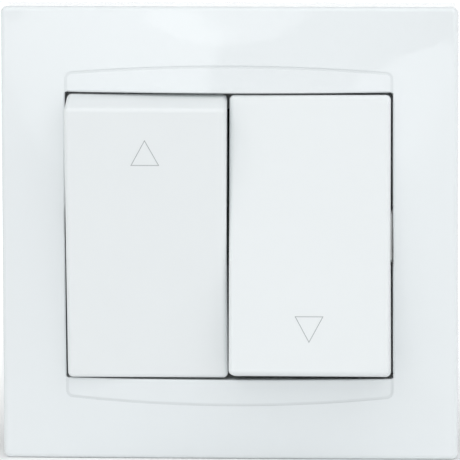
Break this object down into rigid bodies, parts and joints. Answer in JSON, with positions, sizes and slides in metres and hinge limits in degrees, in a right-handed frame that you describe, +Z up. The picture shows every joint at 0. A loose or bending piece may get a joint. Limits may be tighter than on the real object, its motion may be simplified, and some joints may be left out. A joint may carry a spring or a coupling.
{
  "type": "roller shutter switch",
  "caption": "Flush-mounted roller shutter switch: square pillowed frame, up and down rocker keys, mechanism on a steel plate with screw slots and claws for a wall box.",
  "frame": {"origin": "centre of the square at the wall, midway between the two box screws", "axes": "+X to the right and +Z up as it hangs, -Y out of the wall towards the user"},
  "size_m": [0.081, 0.0399, 0.081],
  "materials": {
    "frame_plastic": "gloss",
    "key_plastic": "satin",
    "pale_plastic": "matte",
    "dark_plastic": "matte",
    "housing_plastic": "matte",
    "zinc_steel": "zinc-plated",
    "screw_steel": "zinc-plated",
    "spring_steel": "bright",
    "contact_copper": "satin",
    "terminal_brass": "satin"
  },
  "bodies": {
    "switch_body": {"cover_frame": "frame_plastic", "support_plate": "zinc_steel", "rocker_carrier": "pale_plastic", "carrier_rivets": "screw_steel", "switch_cover": "dark_plastic", "cover_screws": "screw_steel", "housing_base": "housing_plastic", "contact_common": "contact_copper", "contact_link": "contact_copper", "contact_up": "contact_copper", "contact_down": "contact_copper", "terminal_up": "terminal_brass", "terminal_common": "terminal_brass", "terminal_down": "terminal_brass", "terminal_screws": "screw_steel", "claw_screws": "screw_steel"},
    "rocker_left_body": {"rocker_left": "key_plastic", "yoke_left": "pale_plastic", "spring_left": "spring_steel"},
    "plunger_left_body": {"plunger_left": "dark_plastic"},
    "seesaw_left_body": {"seesaw_left": "contact_copper"},
    "claw_left_body": {"claw_left": "zinc_steel"},
    "rocker_right_body": {"rocker_right": "key_plastic", "yoke_right": "pale_plastic", "spring_right": "spring_steel"},
    "plunger_right_body": {"plunger_right": "dark_plastic"},
    "seesaw_right_body": {"seesaw_right": "contact_copper"},
    "claw_right_body": {"claw_right": "zinc_steel"}
  },
  "joints": [
    {"name": "rocker_left_hinge", "type": "hinge", "parent": "switch_body", "child": "rocker_left_body", "pos_m": [-0.01444, -0.0085, 0], "axis": [-1, 0, 0], "range_deg": [0, 15.14]},
    {"name": "plunger_left_slide", "type": "slide", "parent": "rocker_left_body", "child": "plunger_left_body", "axis": [0, -0.9913, -0.1317], "range_m": [0, 0.0012], "stiffness_N_per_m": 300, "springref_m": -0.002, "deforming": ["spring_left"]},
    {"name": "seesaw_left_hinge", "type": "hinge", "parent": "switch_body", "child": "seesaw_left_body", "pos_m": [-0.01444, 0.00546, 0], "axis": [1, 0, 0], "range_deg": [0, 12]},
    {"name": "claw_left_hinge", "type": "hinge", "parent": "switch_body", "child": "claw_left_body", "pos_m": [-0.02375, 0.0015, -0.007], "axis": [0, 0, 1], "range_deg": [0, 18]},
    {"name": "rocker_right_hinge", "type": "hinge", "parent": "switch_body", "child": "rocker_right_body", "pos_m": [0.01444, -0.0085, 0], "axis": [1, 0, 0], "range_deg": [0, 15.14]},
    {"name": "plunger_right_slide", "type": "slide", "parent": "rocker_right_body", "child": "plunger_right_body", "axis": [0, -0.9913, 0.1317], "range_m": [0, 0.0012], "stiffness_N_per_m": 300, "springref_m": -0.002, "deforming": ["spring_right"]},
    {"name": "seesaw_right_hinge", "type": "hinge", "parent": "switch_body", "child": "seesaw_right_body", "pos_m": [0.01444, 0.00546, 0], "axis": [-1, 0, 0], "range_deg": [0, 12]},
    {"name": "claw_right_hinge", "type": "hinge", "parent": "switch_body", "child": "claw_right_body", "pos_m": [0.02375, 0.0015, 0.007], "axis": [0, 0, -1], "range_deg": [0, 18]}
  ],
  "couplings": [
    {"joint": "seesaw_left_hinge", "follows": "rocker_left_hinge", "ratio": 0.7926},
    {"joint": "seesaw_right_hinge", "follows": "rocker_right_hinge", "ratio": 0.7926}
  ]
}
